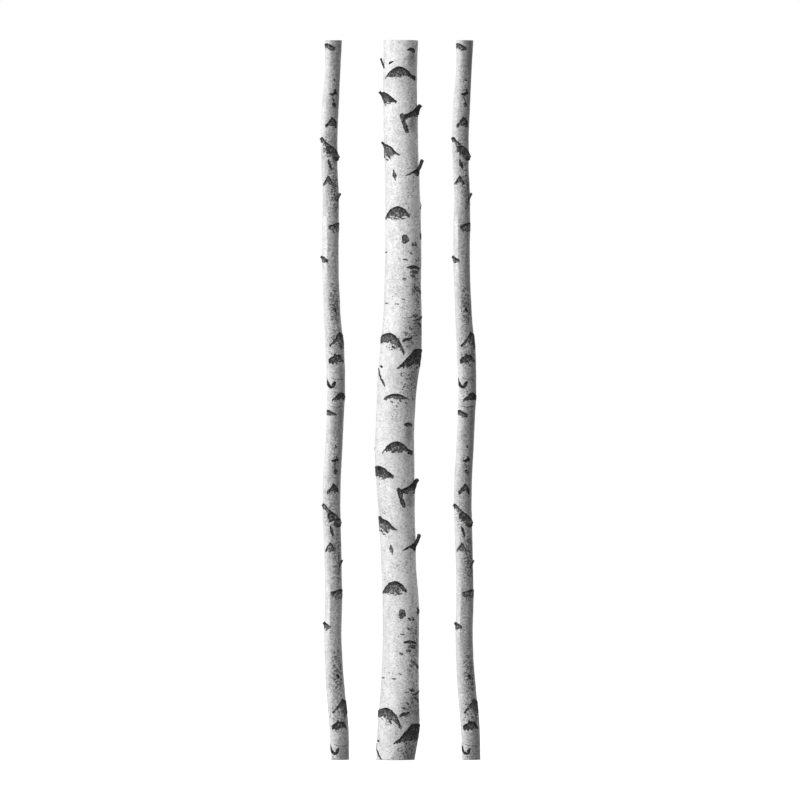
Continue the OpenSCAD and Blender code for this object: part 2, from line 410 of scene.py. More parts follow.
def along(points, shares):
    """Rows read off a smooth curve through rows of numbers, at shares from 0 to 1 of its length."""
    rows = np.array(points, float)
    if len(rows) == 2:
        rows = np.vstack([rows[0], rows.mean(0), rows[1]])
    steps = np.hypot(*np.diff(rows[:, :2], axis=0).T)
    s = np.concatenate([[0], np.cumsum(steps)])
    return np.stack([through(shares * s[-1], s, column) for column in rows.T], axis=1)


# ---------------------------------------------------------------------------------------------
# The poles
# ---------------------------------------------------------------------------------------------


def ring_stations(node):
    """Height, centre and radius of each ring of points of a CAD stem."""
    points = np.array([v.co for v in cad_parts[node].data.vertices])
    heights, counts = np.unique(np.round(points[:, 2], 5), return_counts=True)
    rows = []
    for z in heights[counts >= 10]:
        ring = points[np.abs(points[:, 2] - z) < 2e-5]
        low, high = ring.min(0), ring.max(0)
        rows.append([z, (low[0] + high[0]) / 2, (low[1] + high[1]) / 2, (high[0] - low[0]) / 2])
    return np.array(rows)


class Pole:
    """The shape of one stem. Angles are in radians from the front, positive to the right."""

    def __init__(self, name, body, barks, again, seed):
        self.name, self.body, self.seed = name, body, seed
        self.outer, self.inner = barks
        self.again = again
        self.rows = ring_stations(f"{name}_wood")
        self.rows[:, 3] += self.outer + self.inner
        self.height = self.rows[-1, 0]
        self.foot = self.rows[0, 1]
        self.lumps = []

    def centre(self, z):
        """Where the middle line is at a height, [x, y]."""
        return [through(z, self.rows[:, 0], self.rows[:, k]) for k in (1, 2)]

    def plain_radius(self, z):
        return through(z, self.rows[:, 0], self.rows[:, 3])

    def angle(self, x, z):
        """The angle of a mark x millimetres to the right of the foot. Past the edge it wraps on."""
        q = (x * MM + self.foot - self.centre(z)[0]) / self.plain_radius(z)
        edge = np.clip(q, -1, 1)
        return np.arcsin(edge) + (q - edge)

    def radius(self, angle, z):
        """How far the uneven bark is from the middle line."""
        r = self.plain_radius(z)
        p = np.stack([r * np.sin(angle), -r * np.cos(angle), z + self.seed], axis=-1)
        grow = 0.9 * MM * noise(p, [0.05, 0.05, 0.07], self.seed) * (r / THICK_RADIUS)
        grow = grow + 0.35 * MM * noise(p, [0.03, 0.03, 0.008], self.seed + 5)
        for at, height, wide, tall, proud in self.lumps:
            turn = np.angle(np.exp(1j * (angle - at)))
            grow = grow + proud * np.exp(-((turn * r / wide) ** 2) - ((z - height) / tall) ** 2)
        return r + grow

    def points(self, angle, z, r):
        """Points at a distance r from the stem's middle line."""
        x, y = self.centre(z)
        return np.stack([x + r * np.sin(angle), y - r * np.cos(angle), z], axis=-1)

    def skin(self, angle, z, lift=0.0):
        """Points on the bark, lifted off it by lift."""
        return self.points(angle, z, self.radius(angle, z) + lift)

    def moved(self, x, z):
        """Where a mark of the upper stretch comes again."""
        drop, shift, growth = self.again
        return x + shift + growth * (TOP - z) / 1000, z - drop


def again(pole, marks):
    """The marks, and the same marks on the lower stretch."""
    out = list(marks)
    for points, tone in marks:
        out.append(([[*pole.moved(x, z), w] for x, z, w in points], tone))
    return out


def patches_again(pole, patches):
    """The patches, and the same patches on the lower stretch."""
    return patches + [[*pole.moved(x, z), a, b, s] for x, z, a, b, s in patches]


# ---------------------------------------------------------------------------------------------
# Meshes
# ---------------------------------------------------------------------------------------------


def quads(rows, columns, closed):
    """Faces of a grid of points, row by row. A closed grid joins its last column to its first."""
    j, i = np.meshgrid(np.arange(rows - 1), np.arange(columns - (not closed)), indexing="ij")
    a, n = j * columns + i, (i + 1) % columns
    b = j * columns + n
    return np.stack([a, b, b + columns, a + columns], axis=-1).reshape(-1, 4)


def build(name, parts):
    """One mesh object from parts, each (points, faces, {attribute: values})."""
    points, faces, start = [], [], 0
    for p, f, _ in parts:
        points.append(p.reshape(-1, 3))
        faces += [[int(i) + start for i in face] for face in f]
        start += len(points[-1])
    mesh = bpy.data.meshes.new(name)
    mesh.from_pydata(np.concatenate(points).tolist(), [], faces)
    for key in parts[0][2]:
        values = np.concatenate([np.ravel(part[2][key]) for part in parts])
        mesh.attributes.new(key, "FLOAT", "POINT").data.foreach_set("value", values)
    mesh.validate()
    mesh.polygons.foreach_set("use_smooth", [True] * len(mesh.polygons))
    obj = bpy.data.objects.new(name, mesh)
    bpy.context.scene.collection.objects.link(obj)
    return obj


def closed_tube(rings, caps=False):
    """Faces of rings (rows x columns) that close on themselves: the last row meets the first,
    or, with caps, each end row is filled."""
    rows, columns = rings.shape[:2]
    faces = quads(rows, columns, True).tolist()
    if caps:
        faces.append(list(range(columns))[::-1])
        faces.append([(rows - 1) * columns + i for i in range(columns)])
    else:
        last = (rows - 1) * columns
        for i in range(columns):
            n = (i + 1) % columns
            faces.append([last + i, last + n, n, i])
    return faces


def slab(top, under):
    """A closed sheet between two grids of points: the outside and the inside."""
    rows, columns = top.shape[:2]
    count = rows * columns
    outside = quads(rows, columns, False)
    faces = outside[:, ::-1].tolist() + (outside + count).tolist()
    edge = list(range(columns))
    edge += [j * columns + columns - 1 for j in range(1, rows)]
    edge += [(rows - 1) * columns + i for i in range(columns - 2, -1, -1)]
    edge += [j * columns for j in range(rows - 2, 0, -1)]
    for k, a in enumerate(edge):
        b = edge[(k + 1) % len(edge)]
        faces.append([a, b, b + count, a + count])
    return np.concatenate([top.reshape(-1, 3), under.reshape(-1, 3)]), faces


def bark_fields(pole, angle, z, flecks, greys, plain):
    """How flecked and how grey the white bark is at each point, from 0 to 1."""
    r = pole.plain_radius(z)
    fields = []
    for patches, least in ((flecks, plain), (greys, 0.0)):
        field = np.zeros_like(angle) + least
        for x, height, wide, tall, strength in patches:
            at = pole.angle(float(x), np.array([height * MM]))[0]
            turn = np.angle(np.exp(1j * (angle - at))) * r / (wide * MM)
            d = np.hypot(turn, (z - height * MM) / (tall * MM))
            field = np.maximum(field, strength * (1 - smoothstep(0.45, 1.25, d)))
        fields.append(field)
    return fields


def painted_shade_and_weathering(pole, angle, z, points):
    """How much painted shade, with some greying from the weather, darkens the right side of a slim pole
    at each point, from 0 to 1.
    """
    # Painted shade: the bark is painted darker from the left side towards the right, with some greying
    # from the weather.
    side = np.sin(angle)
    side = side + 0.10 * noise(points, 0.06, pole.seed + 2) + 0.06 * noise(points, 0.2, pole.seed + 3)
    soft = smoothstep(-1.2, 0.12, side)
    sharp = 0.12 + 0.88 * smoothstep(-0.52, -0.32, side)
    near, far = SHADE_EDGE_REACH
    heights = (SLIM_SHADE_EDGE, SLIM_SHADE_EDGE - pole.again[0])
    sharp_share = sum(smoothstep(far, near, np.abs(z / MM - height)) for height in heights)
    shade_and_weathering = soft + (sharp - soft) * sharp_share
    shade_and_weathering = shade_and_weathering * (0.75 + 0.25 * smoothstep(-1, 0.2, np.cos(angle)))
    # Painted light: the far right edge gets less of the painted shade, so it is painted a little
    # lighter, as a rim light would make it.
    return shade_and_weathering * (1 - 0.3 * smoothstep(0.55, 1.0, np.sin(angle)))


def bark(pole, columns, rows, flecks, greys, shaded_weathered_side):
    """The outer bark: a closed skin with a sawn rim at each end."""
    angle = np.linspace(0, 2 * math.pi, columns, endpoint=False)
    z = np.linspace(0, pole.height, rows)
    zz, aa = np.meshgrid(z, angle, indexing="ij")
    outside = pole.skin(aa, zz)
    fine = noise(outside, [0.012, 0.012, 0.004], pole.seed + 9)
    outside = pole.skin(aa, zz, 0.22 * MM * fine)
    iz, ia = np.meshgrid(np.linspace(pole.height, 0, INSIDE_ROWS), angle, indexing="ij")
    inside = pole.points(ia, iz, pole.plain_radius(iz) - pole.outer)
    rings = np.concatenate([outside, inside])
    # The slim poles get painted shade, with some greying from the weather, on their right side, and
    # thicker flecks there.
    if shaded_weathered_side:
        shade_and_weathering = painted_shade_and_weathering(pole, aa, zz, outside)
        plain = 0.25 + 0.12 * shade_and_weathering
    else:
        shade_and_weathering = np.zeros_like(aa)
        plain = 0.45 + 0.1 * np.sin(aa)
    speck, grey = bark_fields(pole, aa, zz, flecks, greys, plain)
    speck = speck + 0.2 * noise(outside, [0.03, 0.03, 0.05], pole.seed + 4, 3)
    pad = np.zeros_like(ia)
    fields = {
        "speck": np.concatenate([speck, pad]),
        "grey": np.concatenate([grey, pad]),
        "shade_and_weathering": np.concatenate([shade_and_weathering, pad]),
    }
    return build(f"{pole.name}_bark", [(rings, closed_tube(rings), fields)])


def cork_sheet(pole, x, z, lift, tone, rim):
    """A closed patch of cork on the bark. x and z are grids in millimetres."""
    z = np.clip(z * MM, 0.001, pole.height - 0.001)
    angle = pole.angle(x, z)
    top = pole.skin(angle, z, lift * MM)
    under = pole.skin(angle, z, np.minimum(lift, 0) * MM - UNDERCUT * MM)
    points, faces = slab(top, under)
    fields = {"tone": np.tile(tone.ravel(), 2), "rim": np.tile(rim.ravel(), 2)}
    return points, faces, fields


def brow_sheet(pole, points, tone, proud, seed):
    """A branch scar: a raised black rim along the top edge and cracked cork under it."""
    columns = max(12, int(length_of(points) / BROW_SPACING))
    deepest = max(p[2] for p in points)
    rows = max(8, int(BROW_SPREAD * deepest / BROW_SPACING))
    s = np.linspace(-1, 1, columns)
    curve = along(points, (s + 1) / 2)
    t = np.linspace(0, BROW_SPREAD, rows)[:, None]
    x = np.broadcast_to(curve[:, 0], (rows, columns)).copy()
    drop = np.maximum(curve[:, 2], 1.5) + 1.5
    below = t * drop
    z = curve[:, 1] + 1.0 - below
    where = np.stack([x, np.zeros_like(x), z], axis=-1)
    edge = np.minimum(1, 4 * (1 - np.abs(s)))
    x = x + 2.0 * noise(where, 6, seed) * edge
    z = z + (0.8 + 1.6 * t) * noise(where, 5, seed + 1, 3) * edge
    rim_width = np.clip(0.38 * drop, 2.6, 6.0)
    rim = 1 - smoothstep(0.6, 1.3, below / rim_width + 0.5 * noise(where, 4, seed + 3))
    ends = np.minimum(1, (1 - np.abs(s)) * columns / 4) * smoothstep(0, 1.2, below)
    fade = smoothstep(0.55, BROW_SPREAD, t)
    crumbs = noise(where, [4, 4, 3.4], seed + 2)
    here = 1 - 2.1 * fade + 1.7 * crumbs * (0.12 + fade * (1 - fade) * 3)
    lift = proud * (0.5 + 0.5 * rim) * np.clip(here, -1, 1) * ends - 0.8 * (1 - ends)
    pale = 0.6 + 0.8 * np.exp(-((s / 0.5) ** 2)) * smoothstep(0.25, 0.7, t)
    return cork_sheet(pole, x, z, lift, tone * pale, rim)


def stroke_sheet(pole, points, tone, proud, seed):
    """A dark line or spot on the bark, slightly raised, with round ends."""
    length = length_of(points)
    widest = max(p[2] for p in points)
    columns = max(11, int((length + widest) / STROKE_SPACING))
    reach = np.linspace(-0.5, 0.5, columns) * (length + widest)
    past = np.maximum(np.abs(reach) - length / 2, 0) * np.sign(reach)
    curve = along(points, np.clip(reach / length + 0.5, 0, 1))
    way = np.gradient(along(points, np.linspace(0, 1, columns))[:, :2], axis=0)
    way = way / np.hypot(way[:, 0], way[:, 1])[:, None]
    ends = 2 * np.abs(past) / widest
    middle = curve[:, :2] + way * past[:, None]
    half = curve[:, 2] / 2 * np.sqrt(np.maximum(1 - ends**2, 0.01))
    rows = max(5, int(widest / STROKE_ACROSS))
    t = np.linspace(-1, 1, rows)[:, None]
    x = middle[:, 0] - t * half * way[:, 1]
    z = middle[:, 1] + t * half * way[:, 0]
    where = np.stack([x, np.zeros_like(x), z], axis=-1)
    wander = min(1.0, widest / 5)
    x = x + 1.6 * wander * noise(where, 4, seed)
    z = z + 1.6 * wander * noise(where, 4, seed + 1)
    body = (1 - np.abs(t) ** 4) * np.sqrt(np.maximum(1 - ends**4, 0))
    lift = proud * 0.7 * (0.8 + 0.6 * noise(where, 4, seed + 2)) * body - 0.4 * (1 - body)
    rim = np.broadcast_to(smoothstep(0.5, 0.9, np.abs(t)), x.shape) * 0.8
    return cork_sheet(pole, x, z, lift, np.full_like(x, tone), rim)


def back_brow(pole, height, direction, half, rise, tone):
    """The top edge of a scar that faces away from the front, as x beyond the edge of the pole."""
    z = np.array([height * MM])
    r = pole.plain_radius(z)[0] / MM
    middle = (pole.centre(z)[0][0] - pole.foot) / MM
    points = []
    for u in np.linspace(-1, 1, 7):
        turn = math.radians(direction) + u * half / r
        side = math.copysign(1, turn)
        x = middle + r * side * (1 + abs(turn) - math.pi / 2)
        points.append([x, height - rise * u * u, 3 + 0.7 * rise * (1 - u * u)])
    return points, tone


def cork(pole, brows, strokes, back, proud):
    """All the branch scars and dark marks of a pole, as one piece."""
    sheets, seed = [], pole.seed * 100
    for points, tone in brows + [back_brow(pole, *row) for row in back]:
        sheets.append(brow_sheet(pole, points, tone, proud, seed))
        seed += 7
    for points, tone in strokes:
        sheets.append(stroke_sheet(pole, points, tone, proud, seed))
        seed += 7
    return build(f"{pole.name}_scars", sheets)


def twig_path(pole, t, x, z, reach, rise, bend):
    """The crooked middle line of a twig, from inside the wood, and a direction across it."""
    height = np.array([z * MM])
    angle = pole.angle(float(x), height)[0]
    start = pole.skin(np.array([angle]), height)[0]
    out = np.array([math.sin(angle), -math.cos(angle), 0.0])
    side = np.array([math.cos(angle), math.sin(angle), 0.0])
    up = np.array([0.0, 0.0, 1.0])
    path = (
        start
        + np.outer(-TWIG_DEPTH + (reach + TWIG_DEPTH) * t**0.9, out) * MM
        + np.outer(rise * (0.15 * t + 0.85 * t**1.5) - 3 * (1 - t) ** 3, up) * MM
        + np.outer(bend * np.sin(2.6 * t) * 1.2, side) * MM
    )
    return path, side


def snapped_end(end, way, tip, seed):
    """Jagged rings that fill a twig's broken end, from its last ring inwards."""
    middle = end.mean(0)
    rings = []
    for k, share in enumerate((0.82, 0.55, 0.25)):
        ring = middle + (end - middle) * share
        jag = noise(ring / MM, 2.0, seed, 2)
        rings.append(ring + way * (0.35 * tip * MM * jag - 0.25 * k * MM)[:, None])
    return np.array(rings)


def twig(pole, number, x, z, root, tip, reach, rise, bend):
    """A dead twig stub: a flared collar, a crooked stem and a broken end."""
    t = np.linspace(0, 1, TWIG_ROWS)
    path, side = twig_path(pole, t, x, z, reach, rise, bend)
    way = np.gradient(path, axis=0)
    way /= np.linalg.norm(way, axis=1)[:, None]
    across = np.cross(way, side)
    across /= np.linalg.norm(across, axis=1)[:, None]
    other = np.cross(way, across)
    a = np.linspace(0, 2 * math.pi, TWIG_AROUND, endpoint=False)
    collar = 1 + 1.1 * np.exp(-((t * (reach + rise) / (1.2 * root)) ** 2))
    size = (root + (tip - root) * t) * collar * MM
    knob = 1 + 0.22 * np.exp(-(((t - 0.93) / 0.08) ** 2))
    ring = (
        path[:, None, :]
        + (size * knob)[:, None, None]
        * (np.cos(a)[None, :, None] * across[:, None, :] + np.sin(a)[None, :, None] * other[:, None, :])
    )
    rough = noise(ring, [0.004, 0.004, 0.006], pole.seed + 40 + number, 3)
    centre = path[:, None, :]
    ring = centre + (ring - centre) * (1 + 0.22 * rough)[..., None]
    splinter = noise(ring / MM, 3.5, pole.seed + 50 + number, 2) * smoothstep(0.8, 1.0, t)[:, None]
    ring = ring + way[:, None, :] * (0.55 * tip * MM * splinter)[..., None]
    jagged = snapped_end(ring[-1], way[-1], tip, pole.seed + 60 + number)
    rings = np.concatenate([ring, jagged])
    ends = [np.broadcast_to(t[:, None], ring.shape[:2]), np.full(jagged.shape[:2], 1.15)]
    part = (rings, closed_tube(rings, caps=True), {"end": np.concatenate(ends)})
    return build(f"{pole.name}_twig_{number}", [part])


def end_fan(pole, z, radii, facing, relief):
    """Rings of points across a sawn end at height z, from outside in."""
    angle = np.linspace(0, 2 * math.pi, CORE_AROUND, endpoint=False)
    rr, aa = np.meshgrid(radii, angle, indexing="ij")
    flat = pole.points(aa, np.full_like(rr, z), rr)
    flat[..., 2] -= facing * relief(rr, aa, flat)
    return flat


def saw_marks(rr, aa, points):
    """How deep the saw's scratches, the growth rings and the drying cracks go, in metres."""
    scratch = 0.10 * MM * (1 + np.sin(points[..., 0] * 900 + 6 * noise(points, 0.03, 3)))
    rings = 0.06 * MM * (1 + np.sin(rr * 2300))
    crack = 0
    for at, width in ((0.6, 0.035), (2.5, 0.028), (4.4, 0.03)):
        turn = np.abs(np.angle(np.exp(1j * (aa - at - 3 * rr))))
        crack = crack + 1.2 * MM * np.exp(-((turn / width) ** 2)) * smoothstep(0.15, 0.6, rr / rr.max())
    return scratch + rings + crack


def core(pole):
    """The wood: a closed stem with a sawn face at each end."""
    depth = pole.outer + pole.inner
    top, foot = pole.height, 0.0
    radii = {z: float(pole.plain_radius(np.array([z]))[0]) - depth for z in (top, foot)}
    shares = np.concatenate([[1.0, 0.985], np.linspace(0.95, 0.02, 22)])
    lower = end_fan(pole, foot, radii[foot] * shares[::-1], -1, saw_marks)
    upper = end_fan(pole, top, radii[top] * shares, 1, saw_marks)
    z = np.linspace(foot, top, CORE_ROWS)[1:-1]
    angle = np.linspace(0, 2 * math.pi, CORE_AROUND, endpoint=False)
    zz, aa = np.meshgrid(z, angle, indexing="ij")
    side = pole.points(aa, zz, pole.plain_radius(zz) - depth)
    rings = np.concatenate([lower, side, upper])
    cx, cy = pole.centre(rings[..., 2])
    pith = np.hypot(rings[..., 0] - cx, rings[..., 1] - cy)
    return build(f"{pole.name}_core", [(rings, closed_tube(rings, caps=True), {"pith": pith})])


def bast(pole):
    """The inner bark: a closed tube between the wood and the outer bark."""
    depth = pole.outer + pole.inner

    def fibres(rr, aa, points):
        return 0.12 * MM * (1 + noise(points, 0.0025, pole.seed + 8))

    def band(z, facing):
        r = float(pole.plain_radius(np.array([z]))[0])
        return end_fan(pole, z, np.linspace(r - pole.outer, r - depth, 5), facing, fibres)

    z = np.linspace(pole.height, 0, CORE_ROWS)[1:-1]
    angle = np.linspace(0, 2 * math.pi, CORE_AROUND, endpoint=False)
    zz, aa = np.meshgrid(z, angle, indexing="ij")

    def wall(inset):
        return pole.points(aa, zz, pole.plain_radius(zz) - inset)

    rings = np.concatenate(
        [band(pole.height, 1), wall(depth), band(0.0, -1)[::-1], wall(pole.outer)[::-1]]
    )
    part = (rings, closed_tube(rings), {"pith": np.zeros(rings.shape[:2])})
    return build(f"{pole.name}_bast", [part])


# ---------------------------------------------------------------------------------------------
# Materials
# ---------------------------------------------------------------------------------------------


class Shader:
    """A material's nodes, made one line at a time."""

    def __init__(self, name, specular):
        self.material = bpy.data.materials.new(name)
        self.material.use_nodes = True
        self.tree = self.material.node_tree
        self.tree.nodes.clear()
        self.surface = self.add("ShaderNodeBsdfPrincipled")
        self.surface.inputs["Specular IOR Level"].default_value = specular
        output = self.add("ShaderNodeOutputMaterial")
        self.tree.links.new(self.surface.outputs[0], output.inputs[0])
        self.place = self.add("ShaderNodeTexCoord").outputs["Object"]

    def add(self, kind, **settings):
        """A new node of a kind."""
        node = self.tree.nodes.new(kind)
        for key, value in settings.items():
            setattr(node, key, value)
        return node

    def put(self, socket, value):
        """Links a socket to another node's output, or sets it to a number or a colour."""
        if isinstance(value, bpy.types.NodeSocket):
            self.tree.links.new(value, socket)
        else:
            socket.default_value = value

    def field(self, name):
        """A number that the mesh carries at each point."""
        return self.add("ShaderNodeAttribute", attribute_name=name).outputs["Fac"]

    def math(self, operation, a, b=0.0, clamp=False):
        node = self.add("ShaderNodeMath", operation=operation, use_clamp=clamp)
        self.put(node.inputs[0], a)
        self.put(node.inputs[1], b)
        return node.outputs[0]

    def band(self, value, low, high, out_low=0.0, out_high=1.0):
        """value from low to high, eased, as out_low to out_high."""
        node = self.add("ShaderNodeMapRange", interpolation_type="SMOOTHSTEP")
        for socket, v in zip(node.inputs[:5], (value, low, high, out_low, out_high)):
            self.put(socket, v)
        return node.outputs[0]

    def scaled(self, size):
        """The object's coordinates, counted in lumps of size metres: [x, y, z]."""
        node = self.add("ShaderNodeMapping")
        self.put(node.inputs["Vector"], self.place)
        node.inputs["Scale"].default_value = [1 / s for s in size]
        return node.outputs[0]

    def noise(self, size, detail=3.0, roughness=0.55, distortion=0.0):
        node = self.add("ShaderNodeTexNoise")
        self.put(node.inputs["Vector"], self.scaled(size))
        node.inputs["Scale"].default_value = 1.0
        node.inputs["Detail"].default_value = detail
        node.inputs["Roughness"].default_value = roughness
        node.inputs["Distortion"].default_value = distortion
        return node.outputs["Fac"]

    def cells(self, size):
        """How far each point is from the edge of its cell."""
        node = self.add("ShaderNodeTexVoronoi", feature="DISTANCE_TO_EDGE")
        self.put(node.inputs["Vector"], self.scaled(size))
        node.inputs["Scale"].default_value = 1.0
        return node.outputs["Distance"]

    def mix(self, share, a, b):
        node = self.add("ShaderNodeMix", data_type="RGBA")
        for socket, v in zip((node.inputs[0], node.inputs[6], node.inputs[7]), (share, a, b)):
            self.put(socket, v)
        return node.outputs[2]

    def finish(self, colour, roughness, height, distance, strength):
        """Sets the colour, the roughness and the relief: distance metres deep, times strength."""
        self.put(self.surface.inputs["Base Color"], colour)
        self.put(self.surface.inputs["Roughness"], roughness)
        bump = self.add("ShaderNodeBump")
        bump.inputs["Strength"].default_value = strength
        bump.inputs["Distance"].default_value = distance
        self.put(bump.inputs["Height"], height)
        self.tree.links.new(bump.outputs[0], self.surface.inputs["Normal"])
        return self.material


def rgb(value, warmth=0.0):
    """A near-neutral colour of that brightness."""
    return (value * (1 + warmth), value, value * (1 - warmth), 1.0)


def bark_material():
    """White papery birch bark: faint streaks, lenticels, flecks, grey patches, and on the slim poles a
    right side darkened by painted shade with some greying from the weather.
    """
    s = Shader("birch_bark", 0.25)
    cloud = s.noise((0.035, 0.035, 0.06), 4.0)
    blotch = s.noise((0.016, 0.016, 0.013), 3.0, 0.6)
    fibre = s.noise((0.005, 0.005, 0.045), 2.0, 0.5)
    streak = s.noise((0.020, 0.020, 0.0035), 4.0, 0.6)
    grain = s.noise((0.0055, 0.0055, 0.0045), 3.0, 0.7)
    rough = s.band(s.field("speck"), 0.1, 0.65, 0.3, 1.0)
    white = s.mix(s.band(cloud, 0.35, 0.7), rgb(0.86), rgb(0.73))
    white = s.mix(s.band(streak, 0.5, 0.75, 0.0, 0.35), white, rgb(0.55))
    white = s.mix(s.band(blotch, 0.48, 0.68, 0.0, 0.32), white, rgb(0.40))
    white = s.mix(s.band(fibre, 0.5, 0.7, 0.0, 0.22), white, rgb(0.40))
    grains = s.math("MULTIPLY", s.band(grain, 0.44, 0.62, 0.0, 0.7), rough)
    white = s.mix(grains, white, rgb(0.38))
    # Lenticels: short dark dashes lying across the stem.
    dash = s.noise((0.011, 0.011, 0.0018), 2.0, 0.5)
    white = s.mix(s.band(dash, 0.64, 0.70, 0.0, 0.5), white, rgb(0.16))
    # Painted shade with some greying from the weather on the slim poles' right side, and grey patches.
    ragged = s.math("ADD", s.math("MULTIPLY", grain, 0.5), s.math("MULTIPLY", cloud, 0.5))
    shade_and_weathering = s.math("MULTIPLY", s.field("shade_and_weathering"), s.band(ragged, 0.2, 0.8, 0.85, 1.1), clamp=True)
    uneven = s.math("MULTIPLY", s.band(grain, 0.38, 0.62, -0.225, 0.225), rough)
    uneven = s.math("ADD", uneven, 0.66)
    white = s.mix(s.math("MULTIPLY", shade_and_weathering, uneven), white, rgb(0.12))
    grey = s.math("MULTIPLY", s.field("grey"), s.band(ragged, 0.3, 0.65, 0.6, 1.3), clamp=True)
    white = s.mix(grey, white, rgb(0.16))
    # Flecks, thick where the field says so.
    fleck = s.noise((0.0062, 0.0062, 0.0048), 3.0, 0.6, 0.2)
    limit = s.band(s.field("speck"), 0.0, 1.0, 0.74, 0.47)
    dark = s.band(s.math("SUBTRACT", fleck, limit), 0.0, 0.07, 0.0, 0.85)
    colour = s.mix(dark, white, rgb(0.06))
    height = s.math("ADD", s.math("MULTIPLY", streak, 0.5), s.math("MULTIPLY", grain, 0.35))
    height = s.math("ADD", height, s.math("MULTIPLY", dark, 0.4))
    gloss = s.band(cloud, 0.3, 0.7, 0.55, 0.72)
    return s.finish(colour, gloss, height, distance=0.0015, strength=0.8)


def cork_material():
    """Black cracked cork with paler crumbs where the rim ends."""
    s = Shader("black_cork", 0.15)
    crumbs = s.noise((0.0045, 0.0045, 0.005), 4.0, 0.68, 0.6)
    lumps = s.noise((0.012, 0.012, 0.010), 2.0)
    splits = s.noise((0.0024, 0.0024, 0.009), 3.0, 0.6, 0.3)
    cracks = s.cells((0.006, 0.006, 0.008))
    tone = s.math("MULTIPLY", s.field("tone"), s.band(s.field("rim"), 0.0, 1.0, 1.0, 0.0))
    tone = s.math("MULTIPLY", tone, s.band(lumps, 0.35, 0.65, 0.7, 1.3))
    ground = s.mix(tone, rgb(0.02), rgb(0.17))
    light = s.math("MULTIPLY", s.band(crumbs, 0.48, 0.62), s.math("ADD", tone, 0.18), clamp=True)
    ground = s.mix(light, ground, rgb(0.62))
    ground = s.mix(s.band(splits, 0.42, 0.58, 0.75, 0.0), ground, rgb(0.012))
    colour = s.mix(s.band(cracks, 0.0, 0.06, 0.35, 0.0), ground, rgb(0.012))
    height = s.math("ADD", crumbs, s.math("MULTIPLY", splits, 1.2))
    return s.finish(colour, 0.9, height, distance=0.0022, strength=0.9)


def twig_material():
    """Dead twig: dark rough bark, paler where it has snapped."""
    s = Shader("dead_twig", 0.2)
    ridges = s.noise((0.0025, 0.0025, 0.010), 3.0, 0.6)
    scales = s.noise((0.006, 0.006, 0.006), 3.0)
    colour = s.mix(s.band(ridges, 0.35, 0.7), rgb(0.02), rgb(0.07, 0.02))
    colour = s.mix(s.band(scales, 0.55, 0.7, 0.0, 0.5), colour, rgb(0.13, 0.02))
    snapped = s.band(s.field("end"), 1.02, 1.12, 0.0, 0.7)
    colour = s.mix(snapped, colour, rgb(0.20, 0.02))
    return s.finish(colour, 0.85, ridges, distance=0.0012, strength=0.9)


def wood_material():
    """Pale sawn birch end grain: growth rings, rays, a darker heart and greyed patches."""
    s = Shader("sawn_birch", 0.25)
    wander = s.noise((0.03, 0.03, 0.03), 2.0)
    radius = s.math("ADD", s.field("pith"), s.math("MULTIPLY", wander, 0.006))
    turns = s.math("SINE", s.math("MULTIPLY", radius, 2 * math.pi / 0.0026))
    rings = s.band(turns, 0.2, 1.0)
    fibre = s.noise((0.0009, 0.0009, 0.002), 3.0)
    stain = s.noise((0.025, 0.025, 0.02), 3.0)
    colour = s.mix(s.band(stain, 0.35, 0.7), rgb(0.62, 0.09), rgb(0.45, 0.10))
    colour = s.mix(s.math("MULTIPLY", rings, 0.35), colour, rgb(0.26, 0.14))
    colour = s.mix(s.band(fibre, 0.5, 0.7, 0.0, 0.3), colour, rgb(0.22, 0.12))
    heart = s.band(s.field("pith"), 0.002, 0.010, 0.7, 0.0)
    colour = s.mix(heart, colour, rgb(0.14, 0.16))
    return s.finish(colour, 0.7, s.math("ADD", rings, fibre), distance=0.0004, strength=0.6)


def bast_material():
    """Brown fibrous inner bark."""
    s = Shader("inner_bark", 0.15)
    fibre = s.noise((0.0018, 0.0018, 0.004), 3.0, 0.6)
    patch = s.noise((0.010, 0.010, 0.010), 2.0)
    colour = s.mix(s.band(fibre, 0.35, 0.7), rgb(0.10, 0.22), rgb(0.24, 0.2))
    colour = s.mix(s.band(patch, 0.5, 0.7, 0.0, 0.5), colour, rgb(0.06, 0.15))
    return s.finish(colour, 0.85, fibre, distance=0.0008, strength=0.8)


# ---------------------------------------------------------------------------------------------
# Stage
# ---------------------------------------------------------------------------------------------

VIEW_HEIGHT = 2.2248  # what the picture spans at the poles
VIEW_CENTRE = (0.0125, 1.0)  # sideways, height
LENS = 500.0  # very long, so that the level ends look straight
SENSOR = 36.0
FLOOR_RADIUS = 60.0
FLOOR_DROP = 0.0005  # just under the sawn feet
FLOOR_GREY = 0.3
FLOOR_GLOW = 0.88
FILL = 0.46


def add_camera():
    """Straight from the front, level with the middle of the poles."""
    data = bpy.data.cameras.new("camera")
    data.lens, data.sensor_width = LENS, SENSOR
    distance = VIEW_HEIGHT / 2 * LENS / (SENSOR / 2)
    data.clip_end = 200
    camera = bpy.data.objects.new("camera", data)
    camera.location = (VIEW_CENTRE[0], -distance, VIEW_CENTRE[1])
    camera.rotation_euler = (math.pi / 2, 0, 0)
    bpy.context.scene.collection.objects.link(camera)
    bpy.context.scene.camera = camera


def add_light(name, azimuth, elevation, distance, size, watts):
    """A square soft box that looks at the middle of the poles."""
    data = bpy.data.lights.new(name, "AREA")
    data.shape, data.size, data.energy = "SQUARE", size, watts
    light = bpy.data.objects.new(name, data)
    a, e = math.radians(azimuth), math.radians(elevation)
    place = np.array([math.sin(a) * math.cos(e), -math.cos(a) * math.cos(e), math.sin(e)])
    light.location = place * distance + np.array([0, 0, VIEW_CENTRE[1]])
    light.rotation_euler = (math.pi / 2 - e, 0, a)
    bpy.context.scene.collection.objects.link(light)


